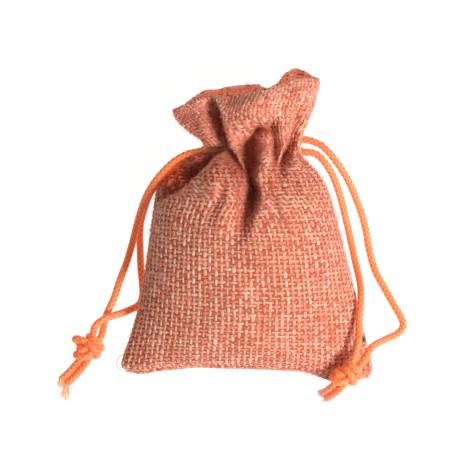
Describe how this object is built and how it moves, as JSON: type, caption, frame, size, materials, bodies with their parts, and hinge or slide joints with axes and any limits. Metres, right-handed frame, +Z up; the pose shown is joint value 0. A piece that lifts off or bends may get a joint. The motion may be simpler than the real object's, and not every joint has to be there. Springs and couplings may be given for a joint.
{
  "type": "drawstring sack",
  "caption": "Small filled drawstring sack of coarse two-tone cloth, drawn shut below a ruffled heading, with knotted cord ends at both sides, lying on its back.",
  "frame": {"origin": "middle of the sack's footprint, on the surface that it lies on", "axes": "+Y from the sack's bottom fold to its mouth, +X to its right seen from above, +Z up from the surface"},
  "size_m": [0.0952, 0.0901, 0.027],
  "materials": {
    "sack_cloth": "coarse plain weave of cream warp and orange-red weft",
    "cord_braid": "round braided cord with a soft sheen"
  },
  "bodies": {
    "root": {"sack": "sack_cloth", "cord_left_outer": "cord_braid", "cord_left_inner": "cord_braid", "knot_left": "cord_braid", "cord_right_outer": "cord_braid", "cord_right_inner": "cord_braid", "knot_right": "cord_braid"}
  },
  "joints": []
}
